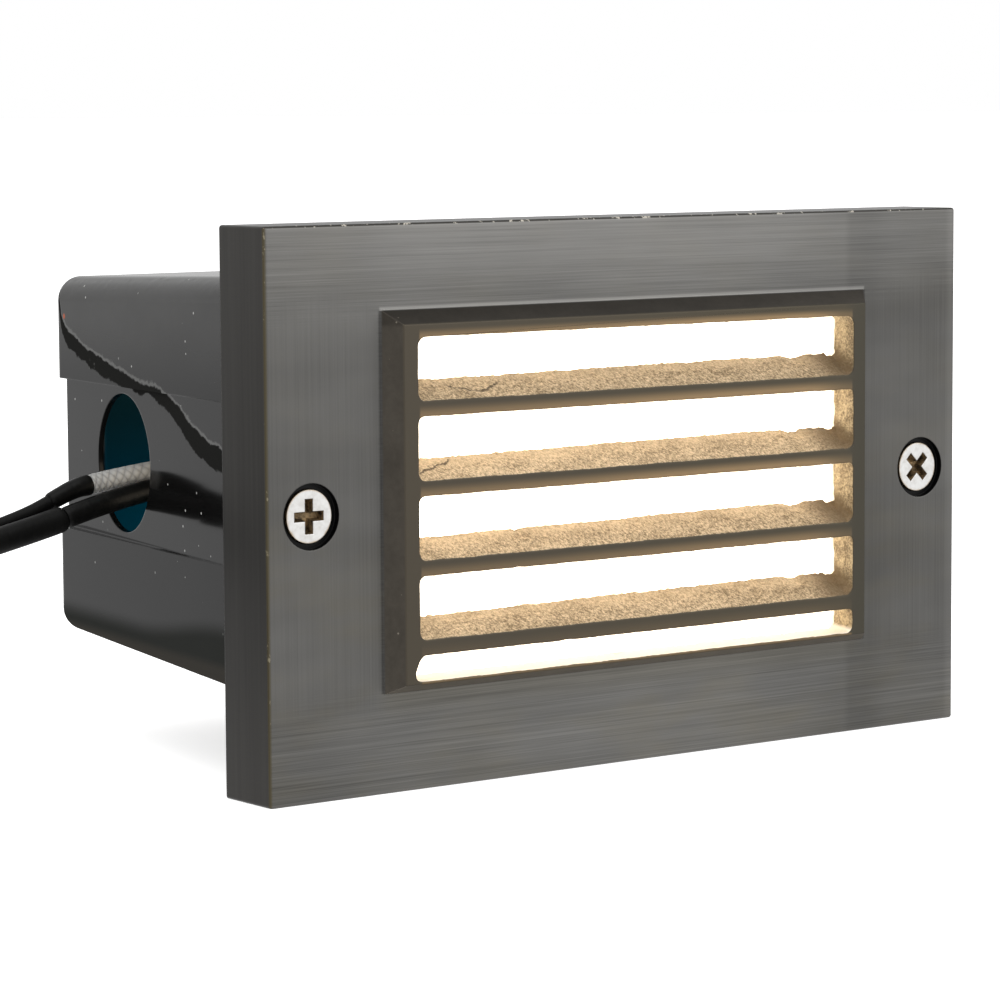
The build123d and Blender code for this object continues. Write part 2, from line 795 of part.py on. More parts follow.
def coil_point(angle):
    """The wound cable's axis at this angle: in at a steady rate, up a layer, and out again."""
    climb = min(max((angle - turn_angle) / pi + 0.5, 0), 1)
    radius = inner_radius + coil_pitch * abs(angle - turn_angle) / (2 * pi)
    return Vector(
        coil_centre[0] + radius * cos(angle),
        coil_centre[1] + radius * sin(angle),
        coil_floor_z + coil_pitch * climb**2 * (3 - 2 * climb),
    )


def coil_heading(angle):
    """The direction of the wound cable at this angle."""
    step = 0.001
    return (coil_point(angle + step) - coil_point(angle - step)).normalized()


def biarc(start, end):
    """Two arcs that leave one point of the coil and reach the next, each along its heading."""
    first = coil_point(start)
    last = coil_point(end)
    leaving = Vector(-1, 0, 0) if start == start_angle else coil_heading(start)
    reaching = coil_heading(end)
    span = last - first
    lean = span.dot(leaving + reaching)
    spread = 2 * (1 - leaving.dot(reaching))
    reach = (sqrt(lean**2 + spread * span.dot(span)) - lean) / spread
    middle = (first + leaving * reach + last - reaching * reach) * 0.5
    TangentArc(first, middle, tangent=leaving)
    TangentArc(last, middle, tangent=reaching * -1)


quarters = round((end_angle - start_angle) / quarter)
angles = [start_angle + number * quarter for number in range(quarters + 1)]
coil_end = coil_point(end_angle)
tail_heading = coil_heading(end_angle)
tail_end = coil_end + tail_heading * cable_diameter

with BuildPart() as cable_coil:
    with BuildLine() as wound:
        for start, end in zip(angles, angles[1:]):
            biarc(start, end)
        Line(coil_end, tail_end)
    with BuildSketch(Plane(origin=coil_point(start_angle), z_dir=(-1, 0, 0))):
        Circle(cable_diameter / 2)
    sweep(path=wound.wires()[0])
cable_coil.part.label = "cable_coil"

wound_wire = wound.wires()[0]
samples = 1500
spots = [wound_wire @ (number / samples) for number in range(samples + 1)]
apart = round(samples * 4 * cable_diameter / wound_wire.length)
least = min(
    (spots[one] - spots[other]).length
    for one in range(0, samples + 1)
    for other in range(one + apart, samples + 1)
)
coil_ratio = cable_coil.part.volume / (pi * cable_diameter**2 / 4 * wound_wire.length)
print("cable_coil length", round(wound_wire.length, 1), "least gap", round(least - cable_diameter, 2))
print("cable_coil volume over section times length", round(coil_ratio, 4))

# a tie round the turns on the side nearest the light
tie_inner_x = coil_centre[0] + inner_radius + coil_pitch / 2
tie_reach = cable_diameter / 2 + tie_clearance
tie_width_x = coil_pitch + 2 * tie_reach
tie_width_z = coil_pitch + 2 * tie_reach
tie_centre = (tie_inner_x + coil_pitch / 2, coil_floor_z + coil_pitch / 2)

with BuildPart() as coil_tie:
    with BuildSketch(upright(coil_centre[1])):
        with Locations(tie_centre):
            RectangleRounded(
                tie_width_x + 2 * tie_thickness,
                tie_width_z + 2 * tie_thickness,
                tie_reach + tie_thickness,
            )
            RectangleRounded(tie_width_x, tie_width_z, tie_reach, mode=Mode.SUBTRACT)
    extrude(amount=tie_width / 2, both=True)
    # its lock
    with BuildSketch(upright(coil_centre[1])):
        with Locations((tie_centre[0], tie_centre[1] + tie_width_z / 2 + tie_lock_height / 2)):
            Rectangle(tie_lock_length, tie_lock_height)
    extrude(amount=tie_lock_width / 2, both=True)
coil_tie.part.label = "coil_tie"

core_plane = Plane(origin=tail_end, x_dir=(1, 0, 0), z_dir=tail_heading)
strand_plane = core_plane.offset(core_length)

with BuildPart() as cable_cores:
    with BuildSketch(core_plane):
        with GridLocations(core_spacing, 1, 2, 1):
            Circle(core_diameter / 2)
    extrude(amount=core_length)
cable_cores.part.label = "cable_cores"

with BuildPart() as core_strands:
    with BuildSketch(strand_plane):
        with GridLocations(core_spacing, 1, 2, 1):
            Circle(strand_diameter / 2)
    extrude(amount=strand_length)
core_strands.part.label = "core_strands"

# ---------------------------------------------------------------- files
os.makedirs("parts", exist_ok=True)
export_step(faceplate.part, "parts/faceplate.step")
export_step(lens_seal.part, "parts/lens_seal.step")
export_step(lens.part, "parts/lens.step")
export_step(lens_clips.part, "parts/lens_clips.step")
export_step(lens_clip_screws.part, "parts/lens_clip_screws.step")
export_step(cover_screw_left, "parts/cover_screw_left.step")
export_step(cover_screw_right, "parts/cover_screw_right.step")
export_step(faceplate_gasket.part, "parts/faceplate_gasket.step")
export_step(back_box.part, "parts/back_box.step")
export_step(screw_inserts.part, "parts/screw_inserts.step")
export_step(lamp_bracket.part, "parts/lamp_bracket.step")
export_step(bracket_screws, "parts/bracket_screws.step")
export_step(lamp_socket.part, "parts/lamp_socket.step")
export_step(socket_screws, "parts/socket_screws.step")
export_step(socket_contacts.part, "parts/socket_contacts.step")
export_step(lamp_pins.part, "parts/lamp_pins.step")
export_step(lamp_base.part, "parts/lamp_base.step")
export_step(lamp_board.part, "parts/lamp_board.step")
export_step(lamp_leds.part, "parts/lamp_leds.step")
export_step(lamp_cover.part, "parts/lamp_cover.step")
export_step(socket_lead_a, "parts/socket_lead_a.step")
export_step(socket_lead_b, "parts/socket_lead_b.step")
export_step(shrink_a, "parts/shrink_a.step")
export_step(shrink_b, "parts/shrink_b.step")
export_step(lead_a, "parts/lead_a.step")
export_step(lead_b, "parts/lead_b.step")
export_step(cable_boot.part, "parts/cable_boot.step")
export_step(cable, "parts/cable.step")
export_step(cable_coil.part, "parts/cable_coil.step")
export_step(coil_tie.part, "parts/coil_tie.step")
export_step(cable_cores.part, "parts/cable_cores.step")
export_step(core_strands.part, "parts/core_strands.step")
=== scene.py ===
import math

import bmesh
import bpy
from mathutils import Matrix, Vector, noise


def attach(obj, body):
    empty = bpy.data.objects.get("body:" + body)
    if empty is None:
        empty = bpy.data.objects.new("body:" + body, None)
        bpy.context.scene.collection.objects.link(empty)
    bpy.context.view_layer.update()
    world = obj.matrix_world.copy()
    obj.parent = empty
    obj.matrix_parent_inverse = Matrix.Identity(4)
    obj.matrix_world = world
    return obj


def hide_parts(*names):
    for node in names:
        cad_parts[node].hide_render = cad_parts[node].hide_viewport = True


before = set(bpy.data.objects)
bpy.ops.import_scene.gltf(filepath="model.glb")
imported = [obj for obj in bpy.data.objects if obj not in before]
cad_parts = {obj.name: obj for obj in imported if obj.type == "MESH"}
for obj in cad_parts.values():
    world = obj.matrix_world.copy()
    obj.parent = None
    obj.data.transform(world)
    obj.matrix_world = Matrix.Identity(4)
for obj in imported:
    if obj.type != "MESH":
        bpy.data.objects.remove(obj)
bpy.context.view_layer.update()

# ------------------------------------------------------------------ sizes, in metres
raised_y = -0.015
face_back_y = -0.0085
window_x = 0.0437
window_z = 0.026
wall_floor = -0.043

# the same light in millimetres, for the finishes
screw_across = 61.2
fin_pitch = 12.03
frame_middle = 1.15
side_bevel_inner = 46.2
low_bevel_inner = 26.3
low_bevel_slant = 1.467


# ------------------------------------------------------------------ shader maths
class Reading:
    """A value in one finish's nodes; sums written on it add Math nodes."""

    def __init__(self, finish, socket):
        self.finish = finish
        self.socket = socket

    def maths(self, operation, *values):
        return self.finish.node("ShaderNodeMath", {"operation": operation}, values)

    def __add__(self, other):
        return self.maths("ADD", self, other)

    def __sub__(self, other):
        return self.maths("SUBTRACT", self, other)

    def __rsub__(self, other):
        return self.maths("SUBTRACT", other, self)

    def __mul__(self, other):
        return self.maths("MULTIPLY", self, other)

    def __truediv__(self, other):
        return self.maths("DIVIDE", self, other)

    def __pow__(self, other):
        return self.maths("POWER", self, other)

    def __abs__(self):
        return self.maths("ABSOLUTE", self)

    __radd__ = __add__
    __rmul__ = __mul__

    def least(self, other):
        return self.maths("MINIMUM", self, other)

    def most(self, other):
        return self.maths("MAXIMUM", self, other)

    def wave(self):
        return self.maths("SINE", self)

    def wrap(self, length):
        return self.maths("WRAP", self, length, 0.0)

    def rise(self, start, end):
        """0 before start, 1 after end, and smooth between them; start may be the larger."""
        low, high = min(start, end), max(start, end)
        to = {"To Min": 0.0, "To Max": 1.0} if start < end else {"To Min": 1.0, "To Max": 0.0}
        return self.finish.node(
            "ShaderNodeMapRange",
            {"interpolation_type": "SMOOTHSTEP"},
            {"Value": self, "From Min": low, "From Max": high, **to},
        )


class Finish:
    """One material, with the surface's even values set on its own sockets."""

    def __init__(self, name, **even):
        self.material = bpy.data.materials.new(name)
        self.material.use_nodes = True
        self.tree = self.material.node_tree
        self.surface = self.tree.nodes["Principled BSDF"]
        for socket, value in even.items():
            socket = socket.replace("_", " ").title().replace("Ior", "IOR")
            self.surface.inputs[socket].default_value = (
                (*value, 1.0) if isinstance(value, tuple) else value
            )

    def node(self, kind, settings, values, output=0):
        made = self.tree.nodes.new(kind)
        for key, value in settings.items():
            setattr(made, key, value)
        for key, value in values.items() if isinstance(values, dict) else enumerate(values):
            self.feed(made.inputs[key], value)
        return Reading(self, made.outputs[output])

    def feed(self, socket, value):
        if isinstance(value, Reading):
            self.tree.links.new(value.socket, socket)
        elif isinstance(value, tuple) and len(value) == 3 and len(socket.default_value) == 4:
            socket.default_value = (*value, 1.0)
        else:
            socket.default_value = value

    def paint(self, **varying):
        for socket, value in varying.items():
            self.feed(self.surface.inputs[socket.replace("_", " ").title()], value)

    def matte(self, amount, colour):
        """A dull surface without gloss where amount is 1."""
        dull = self.node("ShaderNodeBsdfDiffuse", {}, {"Color": colour})
        glossy = Reading(self, self.surface.outputs[0])
        shown = self.node("ShaderNodeMixShader", {}, [amount, glossy, dull])
        self.feed(self.tree.nodes["Material Output"].inputs["Surface"], shown)

    def spot(self):
        return self.node("ShaderNodeTexCoord", {}, {}, "Object")

    def place(self):
        """Object coordinates, and each of them in millimetres."""
        spot = self.spot()
        axes = [self.node("ShaderNodeSeparateXYZ", {}, [spot], axis) for axis in "XYZ"]
        return spot, *(axis * 1000.0 for axis in axes)

    def grain(self, spot, stretch, detail=3.0, rough=0.55):
        """Noise with this many cells to the millimetre along each axis."""
        where = self.node(
            "ShaderNodeMapping",
            {},
            {"Vector": spot, "Scale": tuple(1000.0 * s for s in stretch)},
        )
        return self.node(
            "ShaderNodeTexNoise",
            {},
            {"Vector": where, "Scale": 1.0, "Detail": detail, "Roughness": rough},
        )

    def cells(self, spot, size):
        """Distance within Voronoi cells of this size in millimetres."""
        values = {"Vector": spot, "Scale": 1000.0 / size, "Randomness": 1.0}
        return self.node("ShaderNodeTexVoronoi", {}, values, "Distance")

    def tint(self, level, red, green, blue):
        """A colour whose channels are these shares of one level."""
        return self.node("ShaderNodeCombineColor", {}, [level * red, level * green, level * blue])

    def mix(self, amount, first, second):
        made = self.tree.nodes.new("ShaderNodeMix")
        made.data_type = "RGBA"
        for key, value in ((0, amount), (6, first), (7, second)):
            self.feed(made.inputs[key], value)
        return Reading(self, made.outputs[2])

    def bump(self, height, depth, normal=None, strength=1.0):
        """Height from 0 to 1 over this many millimetres."""
        values = {"Height": height, "Distance": depth / 1000.0, "Strength": strength}
        if normal is not None:
            values["Normal"] = normal
        return self.node("ShaderNodeBump", {}, values)

    def rounded(self, radius):
        """Edges that catch the light as if rounded to this radius in millimetres."""
        return self.node("ShaderNodeBevel", {"samples": 6}, {"Radius": radius / 1000.0})


def from_screw(x, z):
    """Millimetres from the axis of the nearer cover screw."""
    return ((abs(x) - screw_across) ** 2.0 + z * z) ** 0.5


def dress(name, finish):
    """Gives a CAD node this finish."""
    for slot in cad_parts[name].material_slots:
        slot.material = finish.material


# ------------------------------------------------------------------ finishes
def cast_bronze():
    """Patinated casting: brushed face, browner raised frame, bare sandy metal in the louvres."""
    f = Finish("aged_casting", metallic=0.9, specular_ior_level=0.5)
    spot, x, y, z = f.place()
    front = y.rise(-11.7, -11.9)
    raised = y.rise(-12.05, -12.3)
    wall_x = abs(x) - (y + 15.0) * 0.24
    inside = wall_x.rise(43.95, 43.8) * abs(z).rise(26.3, 26.1)
    inside = inside * (y.rise(-14.97, -14.75) * y.rise(-8.3, -8.7))
    ragged_end = abs(z - 1.0) + f.grain(spot, (0.5, 0.02, 0.1)) * 8.0
    stile = abs(x).rise(48.0, 49.5) * ragged_end.rise(38.0, 30.0)
    along_x = f.grain(spot, (0.018, 0.4, 3.2), 4.0, 0.7)
    along_z = f.grain(spot, (3.2, 0.4, 0.018), 4.0, 0.7)
    fine_x = f.grain(spot, (0.05, 0.4, 9.0), 2.0, 0.6)
    fine_z = f.grain(spot, (9.0, 0.4, 0.05), 2.0, 0.6)
    rail_lines = along_x * 0.6 + fine_x * 0.4 - 0.5
    stile_lines = (along_z * 0.75 + fine_z * 0.25 - 0.5) * 0.3
    lines = rail_lines * (1.0 - stile) + stile_lines * stile
    cloud = f.grain(spot, (0.018, 0.05, 0.045), 3.0, 0.6)
    # face: lighter along the top rail and darker to the lower left and the right, which is painted light
    # and shade, with a painted highlight down the right edge; browner to the lower left
    level = 0.121 + z.rise(24.0, 40.0) * 0.04 - x.rise(-20.0, -66.0) * 0.006
    level = level - x.rise(30.0, 60.0) * 0.02 + abs(x).rise(45.0, 5.0) * 0.014
    level = level + z.rise(-26.0, -36.0) * 0.01 + x.rise(66.5, 68.2) * 0.025
    level = level + (cloud - 0.5) * 0.11 + lines * 0.2
    # painted shade on the face just right of the frame
    level = level * (1.0 - x.rise(56.0, 48.5) * x.rise(44.0, 46.0) * 0.14)
    level = level.most(0.04)
    # a painted highlight on a lip over the raised frame and painted shade in the grooves beside it
    lip_highlight = z.rise(30.75, 30.35) * z.rise(29.9, 30.1) * abs(x).rise(48.8, 48.4)
    groove_shade = abs(x).rise(49.0, 48.5) * abs(z - frame_middle).rise(29.0, 28.7)
    level = (level + lip_highlight * 0.1) * (1.0 - groove_shade * 0.5)
    umber = f.grain(spot, (0.05, 0.1, 0.12), 3.0, 0.6).rise(0.35, 0.8)
    umber = umber * (1.0 - z.rise(-20.0, 30.0) * 0.7)
    under_frame = z.rise(-33.0, -27.8) * z.rise(-27.0, -27.8) * abs(x).rise(51.0, 46.0)
    umber = umber.most(under_frame * 0.8)
    grey = f.tint(level, 1.02, 1.0, 0.955)
    olive = f.tint(level, 1.06, 1.0, 0.86)
    face = f.mix(umber, grey, olive)
    side_streak = f.grain(spot, (0.4, 1.1, 0.02), 3.0, 0.6)
    side_level = 0.0165 + side_streak * 0.02
    side_level = side_level + z.rise(10.0, 40.0) * 0.009 + z.rise(-15.0, -40.0) * 0.009
    side = f.tint(side_level, 1.06, 1.0, 0.92)
    colour = f.mix(front, side, face)
    # raised frame: sooty bevels, the top one darker with painted shade, a warmer land, and fins whose
    # fronts carry painted lamplight towards their lower edge
    soot = f.grain(spot, (0.12, 0.2, 0.12), 4.0, 0.65)
    smut = f.grain(spot, (0.9, 0.9, 0.9), 3.0, 0.7) - 0.5
    # painted shade: the top bevel is darkened, less towards the right and not at all at the right end
    top_bevel_shade = z.rise(27.4, 28.2) * (0.3 - x.rise(0.0, 45.0) * 0.3)
    frame_level = (0.057 + (soot - 0.5) * 0.045 + smut * 0.02) * (1.0 - top_bevel_shade)
    # the bottom bevel alone, up to its mitres
    past_mitre = abs(x) - side_bevel_inner + (z + low_bevel_inner) * low_bevel_slant
    below = past_mitre.rise(0.1, -0.1) * z.rise(-26.2, -26.4)
    frame_level = frame_level * (1.0 + below * 2.8)
    flecks = f.cells(spot, 2.6).rise(0.07, 0.04) * abs(x).rise(45.5, 46.2)
    frame_level = frame_level + flecks * 0.12
    frame_tone = f.tint(frame_level, 1.14, 1.0, 0.82)
    land = y.rise(-14.7, -14.95)
    across = abs(x).rise(43.6, 43.2)
    down = (16.35 - z).wrap(fin_pitch)
    low_edge = down.rise(0.4, 2.3) * (1.0 - down.rise(2.4, 2.8)) * z.rise(18.0, 17.0)
    low_edge = (low_edge + z.rise(27.4, 26.0) * z.rise(25.0, 26.0)) * across
    # painted lamplight: tan along the lower edge of each fin front, stronger to the right and in the
    # upper slots, fading at the right end
    painted_lamplight = low_edge * (0.68 + x.rise(-40.0, 30.0) * 0.6)
    painted_lamplight = painted_lamplight * (0.15 + z.rise(-24.0, 0.0) * 0.85)
    painted_lamplight = painted_lamplight * (1.0 - x.rise(33.0, 43.0) * 0.65)
    rightward = x.rise(-44.0, 30.0) * across
    dusk = f.mix(rightward * 0.5, (0.075, 0.064, 0.048), (0.078, 0.067, 0.046))
    dusk = f.mix(x.rise(41.0, 45.0), dusk, (0.064, 0.058, 0.044))
    frame_tone = f.mix(land, frame_tone, f.mix(painted_lamplight, dusk, (0.27, 0.185, 0.1)))
    # lamplight browns the frame's edge under the last slot
    lit_edge = z.rise(-26.75, -26.45) * z.rise(-25.9, -26.1) * across
    frame_tone = f.mix(lit_edge * 0.8, frame_tone, (0.19, 0.135, 0.075))
    inner = abs(x).rise(48.7, 48.3) * abs(z - frame_middle).rise(29.3, 28.9)
    colour = f.mix(raised * inner, colour, frame_tone)
    # bare metal inside the louvres
    sand = f.grain(spot, (2.3, 1.5, 2.3), 4.0, 0.85)
    tone = f.grain(spot, (0.16, 0.3, 0.3), 3.0, 0.6)
    back = y.rise(-12.5, -9.8)
    middle_fins = abs(z - 2.0).rise(11.0, 6.0) * (0.11 - x.rise(-38.0, 20.0) * 0.08)
    speck = sand * (3.0 - back * 1.2) + tone * 0.6 - 1.35 + back * 0.72 + middle_fins
    bare = f.mix(speck.rise(0.0, 1.0), (0.155, 0.108, 0.052), (0.76, 0.61, 0.41))
    end_wall = abs(x).rise(43.2, 43.7)
    end_speck = (tone + sand * 1.4 - 0.9).rise(0.1, 0.6)
    end_tone = f.mix(end_speck, (0.16, 0.12, 0.065), (0.55, 0.46, 0.29))
    bare = f.mix(end_wall * 0.75, bare, end_tone)
    # fin tops are brown where they run into the right end, and cracked near the left
    over = (z - 15.85 - (y + 15.0) * 0.51).wrap(fin_pitch)
    bare = f.mix(over.rise(3.4, 0.9) * x.rise(34.5, 41.5) * 0.85, bare, (0.15, 0.105, 0.055))
    stray = (f.grain(spot, (0.6, 0.6, 0.6), 3.0, 0.7) - 0.5) * 1.2
    crack = abs(z - 17.15 - abs(x + 31.0) * 0.2 + stray).rise(0.16, 0.04)
    crack = crack * abs(x + 31.0).rise(5.4, 4.4)
    split = abs(z - 6.0 - (x + 38.2) * 0.17 + stray).rise(0.16, 0.04)
    split = split * abs(x + 38.3).rise(4.2, 3.6)
    crack = crack.most(split)
    bare = f.mix(crack * 0.85, bare, (0.05, 0.03, 0.012))
    # the sill under the last slot is washed out by the light
    bare = f.mix(z.rise(-25.0, -25.7) * 0.85, bare, (0.95, 0.93, 0.88))
    colour = f.mix(inside, colour, bare)
    # painted shade: the counterbore walls are painted near black
    reach = from_screw(x, z)
    counterbore_shade = reach.rise(5.15, 4.98) * y.rise(-11.99, -11.9)
    colour = f.mix(counterbore_shade, colour, (0.01, 0.01, 0.01))
    # worn front edges
    chip = f.grain(spot, (0.9, 0.9, 0.5), 3.0, 0.7)
    left_edge = x.rise(-68.6, -68.85) * y.rise(-11.3, -11.7)
    top_edge = z.rise(42.6, 42.85) * y.rise(-11.0, -11.6)
    left_wear = f.mix(chip.rise(0.6, 0.7), (0.085, 0.07, 0.038), (0.3, 0.26, 0.17))
    top_wear = f.mix(chip.rise(0.58, 0.64), (0.03, 0.027, 0.023), (0.6, 0.56, 0.48))
    colour = f.mix(left_edge * 0.75, colour, left_wear)
    colour = f.mix(top_edge, colour, top_wear)
    f.paint(base_color=colour)
    f.paint(roughness=0.38 + lines * 0.2 + inside * 0.32)
    f.paint(metallic=0.9 - inside * 0.55)
    brush = lines * front * (1.0 - raised * inner)
    normal = f.rounded(0.28)
    normal = f.bump(brush, 0.02, normal, 0.55)
    normal = f.bump((sand - crack * 0.5) * inside, 0.42, normal, 1.0)
    f.paint(normal=normal)
    return f


def lit_lens():
    """Frosted glass lit by a warm white lamp, glowing both ways."""
    return Finish(
        "lit_lens",
        roughness=0.5,
        base_color=(0.92, 0.9, 0.85),
        emission_color=(1.0, 0.86, 0.68),
        emission_strength=2.6,
    )


def box_gloss():
    """Glossy black moulding with dust, painted sheen towards the top, a dark wavy streak down its left
    side, and a blue inside.
    """
    f = Finish("box_gloss", ior=1.5, specular_ior_level=0.12)
    spot, x, y, z = f.place()
    pad = (y - 6.5).most(0.0) * 0.0318 * abs(z - 3.6).rise(12.46, 12.4)
    in_side = 65.3 - (y + 2.0) * 0.1405 - abs(x)
    in_top = 31.95 - y * 0.0349 - abs(z - 3.25)
    inside = (in_side - pad).least(in_top).least(72.5 - y).rise(1.2, 2.0)
    dust = f.cells(spot, 3.4).rise(0.07, 0.045)
    dust = dust * f.grain(spot, (0.1, 0.1, 0.1)).rise(0.42, 0.55)
    cloud = f.grain(spot, (0.03, 0.05, 0.09), 3.0, 0.6)
    # near black, with a mottled grey painted sheen rising towards the top
    black_with_top_sheen = 0.004 + z.rise(14.0, 30.0) * 0.032 * (0.6 + cloud * 0.8)
    skin = f.tint(black_with_top_sheen, 1.0, 0.99, 0.96)
    # the dark streak runs from the back top corner down to the flange
    ragged = f.grain(spot, (0.4, 0.35, 0.5), 4.0, 0.7) - 0.5
    path = f.node("ShaderNodeFloatCurve", {}, {"Value": (y - 8.0) / 62.0})
    curve = path.socket.node.mapping.curves[0]
    curve.points[0].location = (0.0, 0.31)
    curve.points[-1].location = (1.0, 1.0)
    for place, height in (
        (0.16, 0.39),
        (0.27, 0.5),
        (0.4, 0.6),
        (0.49, 0.61),
        (0.6, 0.66),
        (0.73, 0.715),
        (0.81, 0.755),
        (0.9, 0.82),
        (0.96, 0.87),
    ):
        curve.points.new(place, height)
    path.socket.node.mapping.update()
    above = z - path * 28.0 + ragged * 2.0
    width = 2.6 + y.rise(32.0, 14.0) * 0.9 - abs(y - 37.0).rise(4.0, 0.0) * 1.1
    on_side = x.rise(-50.0, -54.0)
    dark_streak = above.rise(0.15, -0.15) * (above + width).rise(-0.2, 0.2) * on_side
    crest = above.rise(-0.1, 0.2) * above.rise(0.8, 0.4) * on_side
    flakes = f.cells(spot, 0.9).rise(0.3, 0.2) * abs(y - 56.5).rise(3.0, 1.0)
    flakes = flakes * ragged.rise(-0.04, 0.06)
    skin = f.mix(crest * 0.6, skin, (0.13, 0.13, 0.125))
    skin = f.mix(dust * 0.8, skin, (0.5, 0.5, 0.48))
    skin = f.mix(dark_streak, skin, (0.004, 0.004, 0.004))
    skin = f.mix(dark_streak * flakes, skin, (0.4, 0.4, 0.38))
    ember = ((y - 68.5) ** 2.0 + (z - 26.3) ** 2.0) ** 0.5
    skin = f.mix(ember.rise(0.6, 0.2) * on_side, skin, (0.36, 0.06, 0.01))
    f.paint(base_color=skin)
    f.paint(roughness=0.06 + cloud * 0.08 + dust * 0.5 + dark_streak * 0.6)
    wave = f.grain(spot, (0.02, 0.03, 0.03), 1.0, 0.4)
    f.paint(normal=f.bump(wave, 0.25, f.rounded(0.3), 0.25))
    deep = f.mix(z.rise(14.0, -8.0), (0.006, 0.034, 0.048), (0.0008, 0.068, 0.13))
    foot = (z + y.rise(40.0, 8.0) * -3.0).rise(-20.0, -23.5)
    lid = in_top.rise(1.0, 0.2) * z.rise(10.0, 20.0)
    dull = f.mix((z + 25.0).rise(1.5, -0.5), (0.028, 0.029, 0.027), (0.045, 0.042, 0.037))
    dull = f.mix(dark_streak, dull, (0.014, 0.014, 0.013))
    unpolished = inside.most(foot).most(lid * 0.35).most(dark_streak * 0.85)
    f.matte(unpolished, f.mix(inside, dull, deep))
    return f


def zinc(name, colour=(0.74, 0.72, 0.69)):
    """Zinc-plated steel, dull and a little stained."""
    f = Finish(name, metallic=1.0)
    spot = f.spot()
    stain = f.grain(spot, (0.5, 0.5, 0.5), 4.0, 0.65)
    f.paint(base_color=f.mix(stain.rise(0.35, 0.8), colour, tuple(c * 0.75 for c in colour)))
    f.paint(roughness=0.3 + stain * 0.15)
    f.paint(normal=f.bump(stain, 0.05, f.rounded(0.15), 0.3))
    return f


def cover_screw_zinc():
    """Whitish zinc heads with brassy dirt in the cross and round the rim."""
    f = Finish("cover_screw_zinc", metallic=0.85)
    spot, x, y, z = f.place()
    reach = from_screw(x, z)
    stain = f.grain(spot, (0.8, 0.8, 0.8), 4.0, 0.65)
    sunk = y.rise(-11.36, -11.2)
    rim = (reach + stain * 0.5).rise(3.95, 4.3)
    colour = f.mix(stain.rise(0.3, 0.8), (0.76, 0.755, 0.74), (0.6, 0.585, 0.56))
    colour = f.mix(rim * 0.6, colour, (0.42, 0.27, 0.1))
    dirt = f.mix(stain.rise(0.3, 0.7), (0.03, 0.023, 0.015), (0.4, 0.28, 0.15))
    f.paint(base_color=f.mix(sunk, colour, dirt))
    f.paint(roughness=0.32 + sunk * 0.25)
    f.paint(normal=f.bump(stain, 0.06, f.rounded(0.18), 0.35))
    return f


def plain(name, colour, rough, metal=0.0, grain=0.6, depth=0.03, vary=0.2, **even):
    """A moulded or coated finish with a slight grain."""
    f = Finish(name, metallic=metal, **even)
    spot = f.spot()
    speckle = f.grain(spot, (grain, grain, grain), 3.0, 0.6)
    darker = tuple(c * (1 - vary) for c in colour)
    lighter = tuple(min(1.0, c * (1 + vary)) for c in colour)
    f.paint(base_color=f.mix(speckle, darker, lighter))
    f.paint(roughness=rough + (speckle - 0.5) * 0.12)
    f.paint(normal=f.bump(speckle, depth, f.rounded(0.1), 0.5))
    return f


def braid():
    """White braided glass sleeve: plump strands crossing over and under along the lead."""
    f = Finish("white_braid", roughness=0.85, sheen_weight=0.3)
    sleeve_length, strand_pitch, strands_round = 80.0, 2.3, 5.0
    mapped = f.node("ShaderNodeUVMap", {}, {})
    along = f.node("ShaderNodeSeparateXYZ", {}, [mapped], "X") * sleeve_length * 6.2831853 / strand_pitch
    around = f.node("ShaderNodeSeparateXYZ", {}, [mapped], "Y") * 6.2831853 * strands_round
    over = ((along + around) * 0.5).wave() * ((along - around) * 0.5).wave()
    thread = (along * 5.0 + around * 3.0).wave() * 0.5 + 0.5
    weave = abs(over) ** 0.5
    colour = f.mix(weave, (0.22, 0.22, 0.215), (0.42, 0.42, 0.41))
    f.paint(base_color=f.mix(thread * 0.15, colour, (0.32, 0.32, 0.31)))
    f.paint(normal=f.bump(weave + thread * 0.08, 0.22, None, 0.7))
    return f


def shrink_black(name, rough):
    """Heat-shrunk black tube, a little wrinkled."""
    f = Finish(name, specular_ior_level=0.1)
    spot = f.spot()
    wrinkle = f.grain(spot, (0.7, 0.35, 0.35), 3.0, 0.6)
    f.paint(base_color=f.mix(wrinkle, (0.002, 0.002, 0.002), (0.007, 0.007, 0.0065)))
    f.paint(roughness=rough + (wrinkle - 0.5) * 0.2)
    f.paint(normal=f.bump(wrinkle, 0.18, None, 0.7))
    return f


# ------------------------------------------------------------------ camera
def photo_camera():
    yaw, pitch, roll = 0.6442, 0.101257, -0.0060535
    ahead = Vector((math.sin(yaw) * math.cos(pitch), math.cos(yaw) * math.cos(pitch), -math.sin(pitch)))
    right = Vector((math.cos(yaw), -math.sin(yaw), 0.0))
    up = right.cross(ahead)
    level_right = right * math.cos(roll) + up * math.sin(roll)
    level_up = up * math.cos(roll) - right * math.sin(roll)
    data = bpy.data.cameras.new("photo_camera")
    data.sensor_width = 36.0
    data.lens = 3858.0 / 1000.0 * 36.0
    data.clip_start = 0.02
    camera = bpy.data.objects.new("photo_camera", data)
    camera.matrix_world = Matrix(
        (
            (level_right.x, level_up.x, -ahead.x, -0.37944),
            (level_right.y, level_up.y, -ahead.y, -0.482143),
            (level_right.z, level_up.z, -ahead.z, 0.059958),
            (0, 0, 0, 1),
        )
    )
    bpy.context.collection.objects.link(camera)
    bpy.context.scene.camera = camera


photo_camera()

